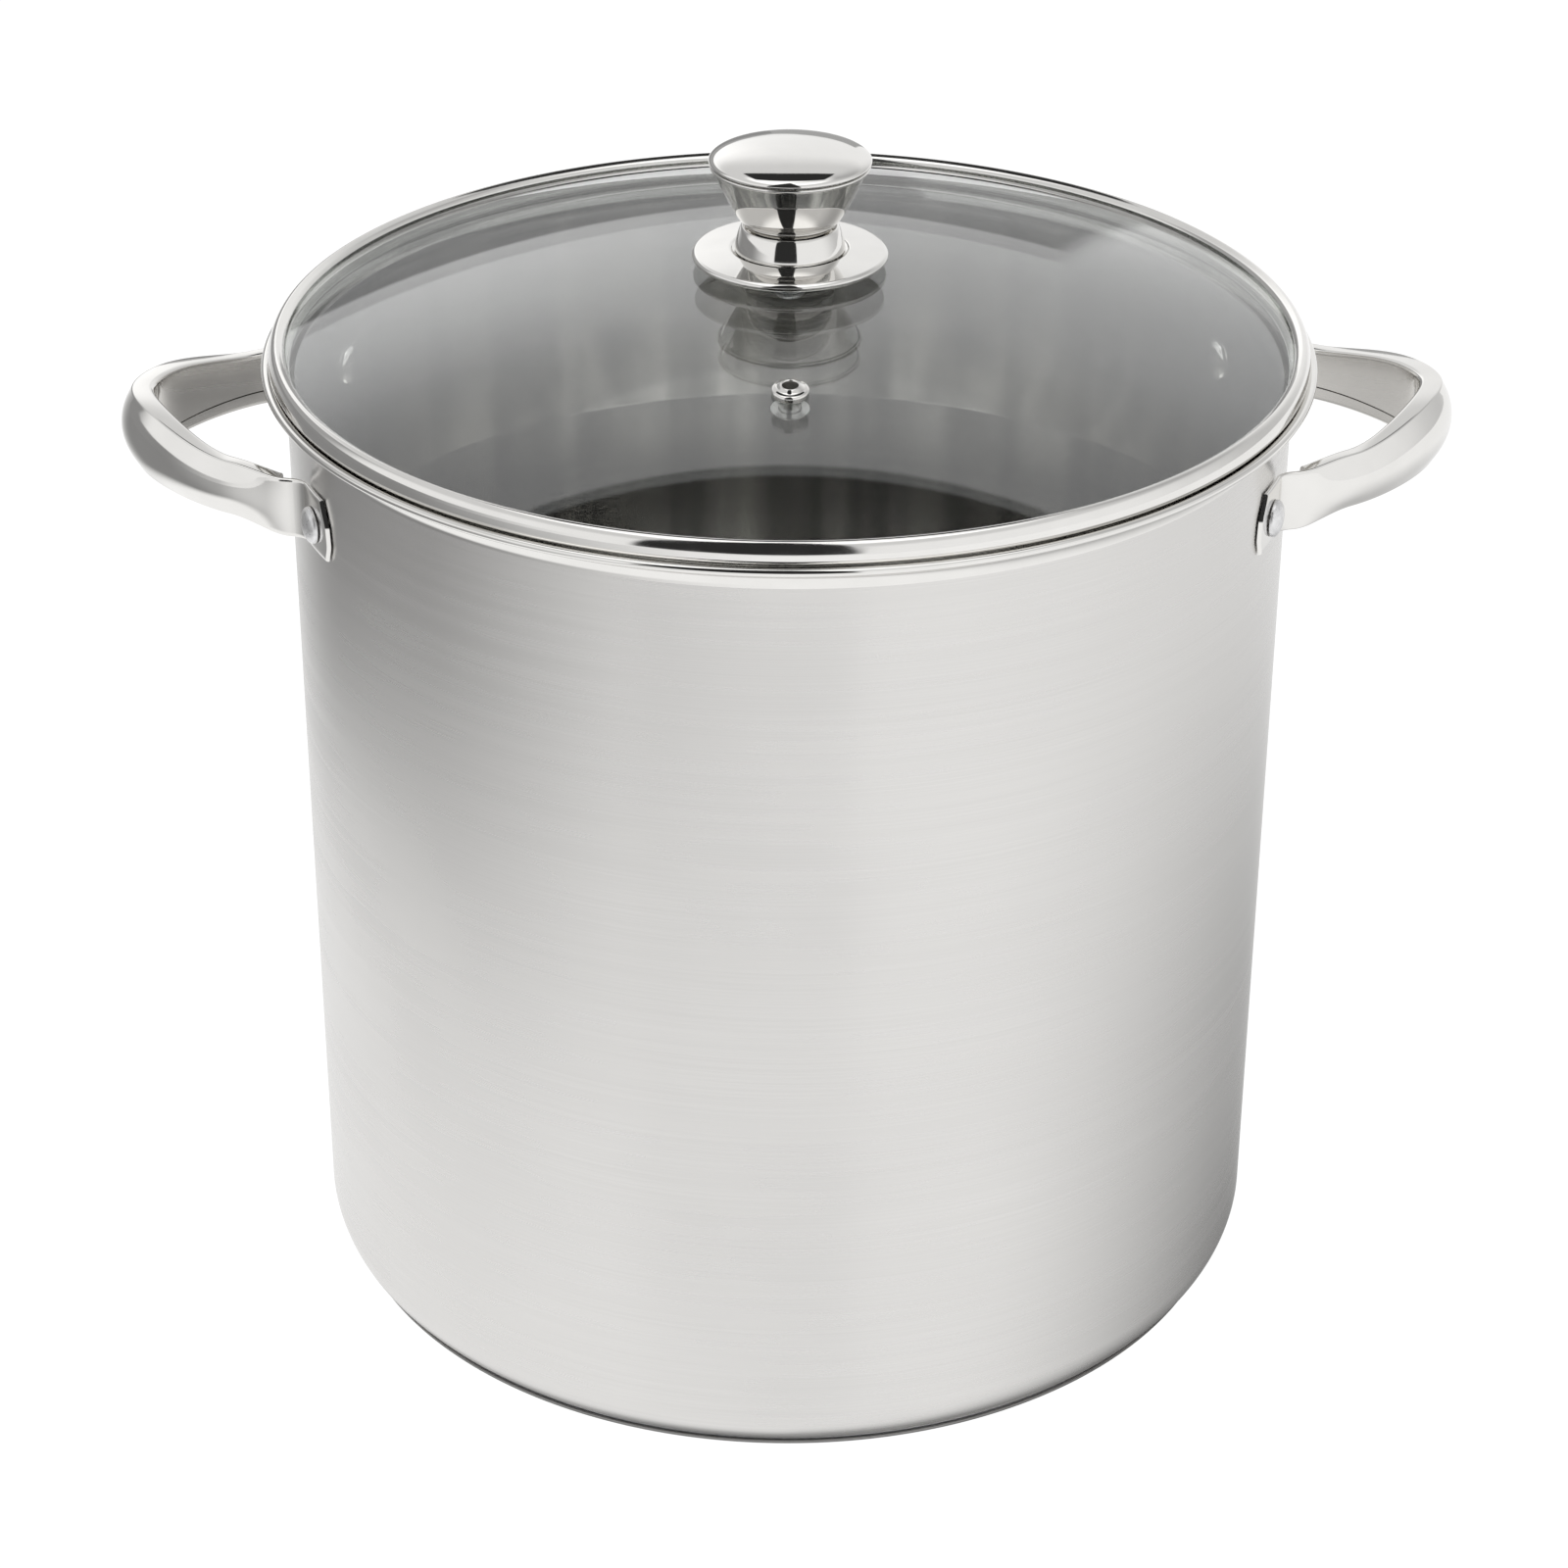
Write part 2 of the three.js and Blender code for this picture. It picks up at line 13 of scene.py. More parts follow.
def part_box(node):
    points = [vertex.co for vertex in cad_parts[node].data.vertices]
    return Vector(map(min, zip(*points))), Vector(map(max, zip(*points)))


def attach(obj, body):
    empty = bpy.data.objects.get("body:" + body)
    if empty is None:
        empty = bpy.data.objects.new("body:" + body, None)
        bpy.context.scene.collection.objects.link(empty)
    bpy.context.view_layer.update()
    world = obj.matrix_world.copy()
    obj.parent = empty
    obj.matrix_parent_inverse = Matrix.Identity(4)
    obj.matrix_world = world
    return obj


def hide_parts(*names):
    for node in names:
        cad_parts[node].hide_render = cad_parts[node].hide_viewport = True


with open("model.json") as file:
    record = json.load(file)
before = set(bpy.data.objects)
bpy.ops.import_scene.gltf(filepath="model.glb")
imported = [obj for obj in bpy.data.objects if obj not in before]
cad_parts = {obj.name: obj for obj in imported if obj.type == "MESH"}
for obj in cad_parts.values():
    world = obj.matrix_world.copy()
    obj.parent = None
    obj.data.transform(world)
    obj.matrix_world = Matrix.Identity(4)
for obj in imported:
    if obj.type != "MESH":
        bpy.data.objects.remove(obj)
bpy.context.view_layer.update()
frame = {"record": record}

MM = 0.001
BIG_SEGMENTS = 288
KNOB_SEGMENTS = 128
SMALL_SEGMENTS = 64
SHARP_ANGLE = math.radians(32)


def reach(node):
    """Largest x of a CAD node in millimetres, which is its radius if it stands on the pot's axis."""
    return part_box(node)[1].x / MM


def top(node):
    """Greatest height of a CAD node in millimetres."""
    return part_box(node)[1].z / MM


def base(node):
    """Least height of a CAD node in millimetres."""
    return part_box(node)[0].z / MM


# ---------------------------------------------------------------- dimensions, in millimetres

# Shell: the corner's arc stops short of the floor, and a smaller knuckle arc ends it
LIP_R = reach("pot_body")
RIM_Z = top("pot_body")
FLOOR_Z = base("pot_body")
WALL_R = LIP_R - 7
SHEET = 0.8
INNER_R = WALL_R - SHEET
CORNER_R = 16
CORNER_SWEEP = 48
CORNER_DROP = 3.1
KNUCKLE_R = 4
LIP_BEAD_R = 1.2
FLARE_Z = RIM_Z - 8.7
FILL_LINE_Z = 220
FILL_LINE_WIDTH = 0.7
FILL_LINE_DEPTH = 0.12

# Rings of mesh that keep the shell's long faces short
FLOOR_RING_R = 60
WALL_RINGS_Z = (80, 150, 220)
INNER_RING_Z = 120
RIVET_RING_REACH = 12

# Base
CORE_EDGE_R = 0.35
DISH_SHEET = 0.5
DISH_CORNER_R = 1.2

# Handle section: the first value is the tab's, and the arm and then the tip add the other two
HANDLE_SHEET = 1.2
HANDLE_TOPS = (279.4, 1.8, 6.3)
HANDLE_BOTTOMS = (261, 3.2, 0.6)
HANDLE_BULGE = 3.6
HANDLE_TIP_BULGE = 0.6
HANDLE_DEPTHS = (5, 7)
HANDLE_RIDGE_R = 0.8
HANDLE_EDGE_R = 1.7
INNER_RIDGE_R = 0.4
INNER_EDGE_R = 0.6
HANDLE_SEAM_Z = 269
HANDLE_SEAM_GAP = 0.4

# Handle path, seen from above, on the side of the right-hand handle that ends at +Y
HANDLE_REACH = reach("handle_right") - HANDLE_BULGE
TIP_TANGENT = Vector((0, 13))
SHOULDER = Vector((17.2, -10.2))
ARM_START = Vector((165, 42.5))
WRAP_END = Vector((149.8, 51.3))
WRAP_BEND_START = 0.2
WRAP_BEND_END = 0.7
BEND_LEAD = Vector((3.2, -0.9))
CREASE_ANGLE = 20.4
TAB_SURFACE_R = 151.5
TAB_SECTION_X = TAB_SURFACE_R - 6
TAB_ANGLES = (21.2, 27.8)

# Tools that cut the handle: depths behind its face, heights, and the (y, z) edge of a tab's end
WRAP_BACK = -7
WRAP_FACE = 0.1 - HANDLE_SHEET
WRAP_OVERRUN = 3
WRAP_SPAN_Z = (250, 290)
TRIM_REACH = (120, 150)
TAB_CORNER_R = 1.6
TAB_TRIM = (
    (66.3, 290), (66.3, 279.6), (69.6, 272.4), (70.2, 266),
    (68.6, 261.6), (67.2, 255), (80, 255), (80, 290),
)

# Rivets
RIVET_ANGLE = 23.4
RIVET_Z = 268.9
RIVET_HOLE_R = 2.8
WALL_DRILL = (140, 160)
TAB_DRILL = (140, 162)
RIVET_SHANK_R = 2.5
RIVET_HEAD_R = 5.5
RIVET_HEAD_H = 2.6
RIVET_EDGE_H = 0.3
RIVET_BACK_R = 6.2
RIVET_BACK_H = 2.0
RIVET_GAP = 0.3

# Lid
DOME_TOP_Z = top("lid_glass")
DOME_R = 522
GLASS_T = 4
GLASS_R = reach("lid_glass")
GLASS_HOLE_R = 5
BAND_INNER_R = 149.3
BAND_ROLL_H = 5
VENT_DISTANCE = 84
VENT_ANGLE = -91.4
VENT_HOLE_R = 3.4
VENT_RING_DEPTH = 5
VENT_DULL_DEPTH = 1

# Knob
BORE_R = 2.9
SCREW_R = 2.5
KNOB_SHEET = 0.8
CAP_RISE = 4.8
CAP_SKIRT = 0.3
COLLAR_GAP = 0.3
FLANGE_DOME_R = 250
FLANGE_RADII = (17.6, 28.3)
FLANGE_LIFT = 0.4
FLANGE_CROWN = 0.6


# ---------------------------------------------------------------- outlines

def arc(centre, rx, rz, start, end, steps=12):
    """Points on an elliptical arc, angles in degrees."""
    angles = [math.radians(start + (end - start) * i / steps) for i in range(steps + 1)]
    return [(centre[0] + rx * math.cos(a), centre[1] + rz * math.sin(a)) for a in angles]


def bezier(points, steps):
    """Points on the Bezier curve of any number of control points."""
    curve = []
    for i in range(steps + 1):
        level = [Vector(p) for p in points]
        while len(level) > 1:
            level = [a.lerp(b, i / steps) for a, b in zip(level, level[1:])]
        curve.append(level[0])
    return curve


def rounded(points, radius, steps=5):
    """The closed outline with each corner off the axis turned into a short curve."""
    result = []
    for i, point in enumerate(points):
        here = Vector(point)
        before = Vector(points[i - 1]) - here
        after = Vector(points[(i + 1) % len(points)]) - here
        if here.x == 0:
            result.append(tuple(here))
            continue
        start = here + before * min(0.45, radius / before.length)
        end = here + after * min(0.45, radius / after.length)
        result.extend(tuple(p) for p in bezier([start, here, end], steps))
    return result


def raised(outline, height):
    """The outline moved up."""
    return [(r, z + height) for r, z in outline]


# ---------------------------------------------------------------- mesh building

def mesh_object(name, vertices, faces):
    """Smooth-shaded object from vertices in millimetres."""
    mesh = bpy.data.meshes.new(name)
    mesh.from_pydata([tuple(Vector(v) * MM) for v in vertices], [], faces)
    obj = bpy.data.objects.new(name, mesh)
    bpy.context.scene.collection.objects.link(obj)
    shade(mesh)
    return obj


def shade(mesh):
    """Smooth shading with crisp edges where the faces meet at a sharp angle."""
    mesh.shade_smooth()
    mesh.set_sharp_from_angle(angle=SHARP_ANGLE)


def lathe(name, outline, segments):
    """Closed skin swept round +Z from an anticlockwise (radius, height) outline."""
    vertices = []
    rings = []
    for radius, height in outline:
        first = len(vertices)
        if radius == 0:
            vertices.append((0, 0, height))
            rings.append([first] * segments)
            continue
        for k in range(segments):
            angle = 2 * math.pi * k / segments
            vertices.append((radius * math.cos(angle), radius * math.sin(angle), height))
        rings.append(range(first, first + segments))
    closed = outline[0][0] != 0
    uppers = rings[1:] + rings[:1] if closed else rings[1:]
    faces = []
    for lower, upper in zip(rings, uppers):
        for k in range(segments):
            after = (k + 1) % segments
            corners = dict.fromkeys((lower[k], lower[after], upper[after], upper[k]))
            faces.append(tuple(corners))
    return mesh_object(name, vertices, faces)


def loft(name, stations, outline_at):
    """Closed skin through anticlockwise (outward, height) outlines along plan stations."""
    vertices = []
    for point, outward in stations:
        for n, z in outline_at(point):
            vertices.append((point.x + n * outward.x, point.y + n * outward.y, z))
    around = len(vertices) // len(stations)
    faces = []
    for i in range(len(stations) - 1):
        for k in range(around):
            a = i * around + k
            b = i * around + (k + 1) % around
            faces.append((a, a + around, b + around, b))
    last = len(vertices) - around
    faces.append(tuple(range(around)))
    faces.append(tuple(range(last + around - 1, last - 1, -1)))
    return mesh_object(name, vertices, faces)


def cylinder(radius, low, high, matrix):
    """Cutting tool along its own +Z, in millimetres."""
    tool = lathe("tool", [(0, low), (radius, low), (radius, high), (0, high)], SMALL_SEGMENTS)
    place(tool, matrix)
    return tool


def box_tool(width, depth, z, height, x=0):
    """Box-shaped cutting tool centred on a height, in millimetres."""
    vertices = []
    for level in (z - height / 2, z + height / 2):
        for sx, sy in ((-1, -1), (1, -1), (1, 1), (-1, 1)):
            vertices.append((x + sx * width / 2, sy * depth / 2, level))
    sides = [(k, (k + 1) % 4, (k + 1) % 4 + 4, k + 4) for k in range(4)]
    return mesh_object("tool", vertices, [(3, 2, 1, 0), (4, 5, 6, 7), *sides])


def place(obj, matrix):
    """Moves the object's mesh by a matrix whose translation is in millimetres."""
    scaled = matrix.copy()
    scaled.translation = matrix.translation * MM
    obj.data.transform(scaled)


def cut(obj, tools):
    """Takes the tools' space out of the object, and deletes the tools."""
    for tool in tools:
        modifier = obj.modifiers.new("cut", "BOOLEAN")
        modifier.object = tool
        modifier.solver = "EXACT"
    depsgraph = bpy.context.evaluated_depsgraph_get()
    whole = obj.data
    obj.data = bpy.data.meshes.new_from_object(obj.evaluated_get(depsgraph))
    obj.modifiers.clear()
    bpy.data.meshes.remove(whole)
    for tool in tools:
        bpy.data.objects.remove(tool)
    shade(obj.data)
    return obj


def radial(angle, z, distance=0):
    """Matrix that lays a local +Z along a radius of the pot, at an angle in degrees and a height."""
    turn = Matrix.Rotation(math.radians(angle), 4, "Z")
    return turn @ Matrix.Translation((distance, 0, z)) @ Matrix.Rotation(math.pi / 2, 4, "Y")


# ---------------------------------------------------------------- node graphs

class Graph:
    """Short names for making and joining shader nodes."""

    def __init__(self, owner):
        owner.use_nodes = True
        self.tree = owner.node_tree
        self.tree.nodes.clear()

    def add(self, kind, inputs=None, **settings):
        """New node, its inputs set to values or joined to sockets."""
        node = self.tree.nodes.new("ShaderNode" + kind)
        for key, value in settings.items():
            setattr(node, key, value)
        for key, value in (inputs or {}).items():
            if isinstance(value, bpy.types.NodeSocket):
                self.tree.links.new(value, node.inputs[key])
            else:
                node.inputs[key].default_value = value
        return node

    def math(self, operation, a, b=0.0, c=0.0):
        """Result of a maths node."""
        return self.add("Math", {0: a, 1: b, 2: c}, operation=operation).outputs[0]

    def product(self, first, *others):
        """All the factors multiplied together."""
        for other in others:
            first = self.math("MULTIPLY", first, other)
        return first

    def degrees(self, operation, a, b=0.0):
        """An angle worked out by an arc function, in degrees."""
        return self.math("MULTIPLY", self.math(operation, a, b), 180 / math.pi)

    def ramp(self, value, start, end, low=0.0, high=1.0):
        """Smooth step from low to high as value goes from start to end."""
        inputs = {0: value, 1: start, 2: end, 3: low, 4: high}
        return self.add("MapRange", inputs, interpolation_type="SMOOTHSTEP").outputs[0]

    def window(self, value, opens, closes):
        """Factor that goes up to 1 over the first range of the value, and back to 0 over the second."""
        return self.product(self.ramp(value, *opens), self.ramp(value, *closes, 1.0, 0.0))

    def mix(self, factor, a, b):
        """Value that goes from a to b with the factor."""
        return self.add("Mix", {0: factor, 2: a, 3: b}).outputs[0]

    def mix_colour(self, factor, a, b):
        """Colour that goes from a to b with the factor."""
        return self.add("Mix", {0: factor, 6: a, 7: b}, data_type="RGBA").outputs[2]

    def output(self, surface, kind="OutputMaterial"):
        """Joins the surface to the output."""
        self.add(kind, {"Surface": surface})


def turned_noise(g, around, across, detail=3.0):
    """Noise that runs round the pot's axis: slow along the turn, fast in height and radius."""
    coords = g.add("TexCoord").outputs["Object"]
    parts = g.add("SeparateXYZ", {0: coords}).outputs
    stretched = g.add("CombineXYZ", {
        0: g.product(parts[0], around),
        1: g.product(parts[1], around),
        2: g.product(parts[2], across),
    }).outputs[0]
    flat = g.add("CombineXYZ", {0: parts[0], 1: parts[1]}).outputs[0]
    radius = g.add("VectorMath", {0: flat}, operation="LENGTH").outputs["Value"]
    inputs = {"Vector": stretched, "W": g.product(radius, across), "Scale": 1.0, "Detail": detail}
    return g.add("TexNoise", inputs, noise_dimensions="4D").outputs["Fac"]


def soft_noise(g, scale, detail=3.0):
    """Plain three-dimensional noise."""
    coords = g.add("TexCoord").outputs["Object"]
    return g.add("TexNoise", {"Vector": coords, "Scale": scale, "Detail": detail}).outputs["Fac"]


def metal(g, colour, roughness, normal=None, anisotropy=0.0):
    """Principled metal; its anisotropy blurs reflections across marks that run round the axis."""
    inputs = {"Base Color": colour, "Metallic": 1.0, "Roughness": roughness}
    if normal:
        inputs["Normal"] = normal
    if anisotropy:
        inputs["Anisotropic"] = anisotropy
        inputs["Anisotropic Rotation"] = 0.25
        inputs["Tangent"] = g.add("Tangent", direction_type="RADIAL", axis="Z").outputs[0]
    return g.add("BsdfPrincipled", inputs).outputs[0]


# ---------------------------------------------------------------- materials

# Each surface's darker and lighter tone
STEEL = ((0.68, 0.67, 0.655, 1), (0.725, 0.715, 0.70, 1))
INSIDE_STEEL = ((0.81, 0.80, 0.785, 1), (0.86, 0.85, 0.83, 1))
MIRROR = ((0.74, 0.73, 0.71, 1), (0.82, 0.81, 0.79, 1))
RIVET_STEEL = ((0.64, 0.64, 0.645, 1), (0.88, 0.88, 0.885, 1))
GLASS_TINT = ((0.945, 0.955, 0.952, 1), (0.955, 0.965, 0.962, 1))
RUBBER = ((0.58, 0.60, 0.59, 1), (0.70, 0.72, 0.71, 1))

# Higher than real glass has, to mirror the studio as strongly as the photographed lid does
GLASS_INDEX = 1.78
# Radii in metres between which the painted reflection streaks of the pot's inside fade in, where its floor
# meets its wall
REFLECTION_STREAK_FADE = (0.135, 0.148)


def painted_reflection_streaks(g, scale):
    """Factor for painted reflection streaks: it changes with the angle round the axis on the pot's wall,
    and stays 1 on its floor.
    """
    parts = g.add("SeparateXYZ", {0: g.add("TexCoord").outputs["Object"]}).outputs
    flat = g.add("CombineXYZ", {0: parts[0], 1: parts[1]}).outputs[0]
    around = g.add("VectorMath", {0: flat}, operation="NORMALIZE").outputs["Vector"]
    radius = g.add("VectorMath", {0: flat}, operation="LENGTH").outputs["Value"]
    noise = g.add("TexNoise", {"Vector": around, "Scale": scale, "Detail": 2.0}).outputs["Fac"]
    on_floor = g.ramp(radius, *REFLECTION_STREAK_FADE, 1.0, 0.0)
    return g.math("MAXIMUM", g.ramp(noise, 0.36, 0.62), on_floor)


def brushed_steel(name, roughness, anisotropy, grain=0.00002, tones=STEEL, painted_streak_depth=0.0):
    """Steel with fine marks round the pot's axis, slow cloudy patches and, where a streak depth is given,
    upright streaks of painted reflection in its colour.
    """
    dark, light = tones
    material = bpy.data.materials.new(name)
    g = Graph(material)
    fine = turned_noise(g, 9, 2600, 4)
    broad = turned_noise(g, 1.6, 240, 3)
    clouds = soft_noise(g, 16, 3)
    marks = g.math("ADD", g.product(fine, 0.6), g.product(broad, 0.4))
    colour = g.mix_colour(g.ramp(marks, 0.25, 0.75), dark, light)
    if painted_streak_depth:
        # Painted reflection: upright light and dark streaks darken the colour by the angle round the axis
        dim = tuple(c * (1 - painted_streak_depth) for c in dark[:3]) + (1,)
        colour = g.mix_colour(painted_reflection_streaks(g, 7), dim, colour)
    patchy = g.ramp(g.product(clouds, broad), 0.12, 0.4, -0.02, 0.02)
    bump = g.add("Bump", {"Strength": 1.0, "Distance": grain, "Height": fine}).outputs[0]
    g.output(metal(g, colour, g.math("ADD", patchy, roughness), bump, anisotropy))
    return material


def polished_steel(name, roughness=0.05, wave_height=0.000015, wave_scale=160):
    """Mirror-polished steel with faint buffing haze and slight waviness."""
    material = bpy.data.materials.new(name)
    g = Graph(material)
    haze = soft_noise(g, 90, 4)
    swirl = turned_noise(g, 60, 900, 2)
    colour = g.mix_colour(haze, *MIRROR)
    waves = soft_noise(g, wave_scale, 1)
    wave = g.add("Bump", {"Strength": 1.0, "Distance": wave_height, "Height": waves})
    rough = g.product(g.ramp(g.product(haze, swirl), 0.1, 0.45, 0.6, 1.5), roughness)
    g.output(metal(g, colour, rough, wave.outputs[0]))
    return material


def pebbled_steel(name):
    """Matt rivet steel, dimpled by the riveting tool."""
    material = bpy.data.materials.new(name)
    g = Graph(material)
    pebbles = g.add("TexVoronoi", {"Vector": g.add("TexCoord").outputs["Object"], "Scale": 900.0})
    height = g.math("ADD", pebbles.outputs["Distance"], soft_noise(g, 1200, 3))
    bump = g.add("Bump", {"Strength": 0.6, "Distance": 0.0001, "Height": height}).outputs[0]
    colour = g.mix_colour(soft_noise(g, 500, 2), *RIVET_STEEL)
    g.output(metal(g, colour, g.ramp(height, 0.3, 1.4, 0.22, 0.45), bump))
    return material


def plain_metal(name, colour, roughness):
    """Pressed or plated metal with a light speckle."""
    material = bpy.data.materials.new(name)
    g = Graph(material)
    speckle = soft_noise(g, 800, 3)
    darker = tuple(0.8 * c for c in colour[:3]) + (1,)
    bump = g.add("Bump", {"Strength": 0.5, "Distance": 0.00003, "Height": speckle}).outputs[0]
    tone = g.mix_colour(speckle, darker, colour)
    g.output(metal(g, tone, g.ramp(speckle, 0.2, 0.8, roughness * 0.7, roughness * 1.3), bump))
    return material


def clear_glass(name):
    """Tempered glass: unbent view through a faint tint, mirror reflections that grow at a slant."""
    material = bpy.data.materials.new(name)
    g = Graph(material)
    behind = g.add("NewGeometry").outputs["Backfacing"]
    index = g.mix(behind, GLASS_INDEX, 1 / GLASS_INDEX)
    fresnel = g.add("Fresnel", {"IOR": index}).outputs[0]
    tint = g.mix_colour(soft_noise(g, 8, 2), *GLASS_TINT)
    clear = g.add("BsdfTransparent", {"Color": tint}).outputs[0]
    shine = g.add("BsdfGlossy", {"Color": (1, 1, 1, 1), "Roughness": 0.0}).outputs[0]
    g.output(g.add("MixShader", {0: fresnel, 1: clear, 2: shine}).outputs[0])
    return material


def silicone(name):
    """Soft grey gasket silicone."""
    material = bpy.data.materials.new(name)
    g = Graph(material)
    cloud = soft_noise(g, 300, 3)
    colour = g.mix_colour(cloud, *RUBBER)
    inputs = {"Base Color": colour, "Roughness": g.ramp(cloud, 0.2, 0.8, 0.4, 0.6), "IOR": 1.41}
    g.output(g.add("BsdfPrincipled", inputs).outputs[0])
    return material


OUTSIDE = brushed_steel("satin_wall", 0.27, 0.9, grain=0.000007)
# The inside's colour holds painted reflection streaks that run up its wall
INSIDE = brushed_steel("smooth_inside", 0.13, 0.5, grain=0.000006, tones=INSIDE_STEEL, painted_streak_depth=0.5)
POLISHED = polished_steel("polished_steel")
BAND = polished_steel("polished_band", 0.09)
HANDLE_STEEL = polished_steel("polished_handle", 0.07, wave_height=0.00005, wave_scale=70)
DISH = brushed_steel("base_dish_steel", 0.3, 0.6)
ALUMINIUM = plain_metal("pressed_aluminium", (0.62, 0.62, 0.63, 1), 0.5)
RIVET = pebbled_steel("rivet_steel")
ZINC = plain_metal("bright_fastener_steel", (0.72, 0.72, 0.74, 1), 0.3)
GLASS = clear_glass("lid_glass_clear")
SILICONE = silicone("gasket_silicone")


# ---------------------------------------------------------------- pieces

NODE_BODY = {
    node: body for body, nodes in frame["record"]["behaviour"]["bodies"].items() for node in nodes
}


def stand_for(obj, node, *materials):
    """Gives the piece its materials, and puts it in the place of its CAD node."""
    obj.name = "fine_" + node
    obj.data.name = obj.name
    for material in materials:
        obj.data.materials.append(material)
    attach(obj, NODE_BODY[node])
    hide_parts(node)


def shell_outline():
    """Outside of the shell from its floor up to the lip, and its inside back down."""
    centre = (WALL_R - CORNER_R, FLOOR_Z + CORNER_R - CORNER_DROP)
    swing = math.radians(CORNER_SWEEP)
    knuckle = (centre[0] + (CORNER_R - KNUCKLE_R) * math.cos(swing), FLOOR_Z + KNUCKLE_R)
    bead = (LIP_R - LIP_BEAD_R, RIM_Z - LIP_BEAD_R)
    flare = (bead[0], FLARE_Z)
    under = (bead[0] - WALL_R, bead[1] - LIP_BEAD_R - FLARE_Z)
    over = (bead[0] - INNER_R, RIM_Z - FLARE_Z)
    around_rivets = [RIVET_Z - RIVET_RING_REACH, RIVET_Z + RIVET_RING_REACH]
    half_line = FILL_LINE_WIDTH / 2
    return [
        (0, FLOOR_Z),
        (FLOOR_RING_R, FLOOR_Z),
        *arc(knuckle, KNUCKLE_R, KNUCKLE_R, -90, -CORNER_SWEEP, 6),
        *arc(centre, CORNER_R, CORNER_R, -CORNER_SWEEP, 0, 16)[1:],
        *[(WALL_R, z) for z in (*WALL_RINGS_Z, *around_rivets)],
        *arc(flare, *under, 180, 90, 14),
        *arc(bead, LIP_BEAD_R, LIP_BEAD_R, -90, 90, 18)[1:],
        *arc(flare, *over, 90, 180, 14)[1:],
        *[(INNER_R, z) for z in reversed(around_rivets)],
        (INNER_R, FILL_LINE_Z + half_line),
        (INNER_R + FILL_LINE_DEPTH, FILL_LINE_Z),
        (INNER_R, FILL_LINE_Z - half_line),
        (INNER_R, INNER_RING_Z),
        *arc(centre, CORNER_R - SHEET, CORNER_R - SHEET, 0, -CORNER_SWEEP, 16),
        *arc(knuckle, KNUCKLE_R - SHEET, KNUCKLE_R - SHEET, -CORNER_SWEEP, -90, 6)[1:],
        (FLOOR_RING_R, FLOOR_Z + SHEET),
        (0, FLOOR_Z + SHEET),
    ]


def pot_shell():
    """Deep-drawn shell with a rounded corner, a fill line inside and a flared, beaded rim."""
    shell = lathe("shell", shell_outline(), BIG_SEGMENTS)
    angles = [side + turn for side in (0, 180) for turn in (-RIVET_ANGLE, RIVET_ANGLE)]
    cut(shell, [cylinder(RIVET_HOLE_R, *WALL_DRILL, radial(angle, RIVET_Z)) for angle in angles])
    stand_for(shell, "pot_body", OUTSIDE, INSIDE, POLISHED)
    middle_r = (WALL_R + INNER_R) / 2 * MM
    for face in shell.data.polygons:
        distance = face.center.xy.length
        if face.center.z > FLARE_Z * MM:
            face.material_index = 2
        elif distance < middle_r and face.center.z > (FLOOR_Z + SHEET / 2) * MM:
            inward = face.normal.xy.dot(face.center.xy) < 0 or face.normal.z > 0
            face.material_index = 1 if inward else 0


def base_pieces():
    """Aluminium disc under the floor, and the thin dish round it."""
    low = base("base_core")
    high = top("base_core")
    core_r = reach("base_core")
    core = rounded([(0, low), (core_r, low), (core_r, high), (0, high)], CORE_EDGE_R)
    stand_for(lathe("core", core, BIG_SEGMENTS), "base_core", ALUMINIUM)
    outer = reach("base_cap")
    rim = top("base_cap")
    corner = (outer - DISH_CORNER_R, DISH_CORNER_R)
    skin = DISH_CORNER_R - DISH_SHEET
    dish = [
        (0, 0),
        (FLOOR_RING_R, 0),
        *arc(corner, DISH_CORNER_R, DISH_CORNER_R, -90, 0, 8),
        (outer, rim),
        (outer - DISH_SHEET, rim),
        *arc(corner, skin, skin, 0, -90, 8),
        (FLOOR_RING_R, DISH_SHEET),
        (0, DISH_SHEET),
    ]
    stand_for(lathe("dish", dish, BIG_SEGMENTS), "base_cap", DISH)


def blend_step(value, start, end):
    """Smooth step from 0 to 1 between start and end."""
    share = min(1, max(0, (value - start) / (end - start)))
    return share * share * (3 - 2 * share)


def on_tab(angle):
    """Point on the tab's outer face, at an angle in degrees from the handle's middle."""
    return Vector((math.cos(math.radians(angle)), math.sin(math.radians(angle)))) * TAB_SURFACE_R


def half_handle_path():
    """(point, outward direction) pairs from the handle's tip to the tab's end at +Y."""
    crease = on_tab(CREASE_ANGLE)
    bend_start = crease + BEND_LEAD
    tip = Vector((HANDLE_REACH, 0))
    shoulder = ARM_START + SHOULDER
    arm_end = WRAP_END.lerp(ARM_START, WRAP_BEND_START)
    into_bend = WRAP_END.lerp(bend_start, WRAP_BEND_END)
    runs = [
        bezier([tip, tip + TIP_TANGENT, shoulder, ARM_START], 40),
        bezier([ARM_START, arm_end], 8),
        bezier([arm_end, WRAP_END, into_bend], 6),
        bezier([into_bend, bend_start], 1),
        bezier([bend_start, crease, on_tab(TAB_ANGLES[0])], 12),
        [on_tab(TAB_ANGLES[0] + (TAB_ANGLES[1] - TAB_ANGLES[0]) * i / 6) for i in range(7)],
    ]
    points = [runs[0][0]]
    for run in runs:
        points.extend(run[1:])
    stations = []
    for i, point in enumerate(points):
        ahead = points[min(i + 1, len(points) - 1)] - points[max(i - 1, 0)]
        along = ahead.normalized() if i else Vector((0, 1))
        stations.append((point, Vector((along.y, -along.x))))
    return stations


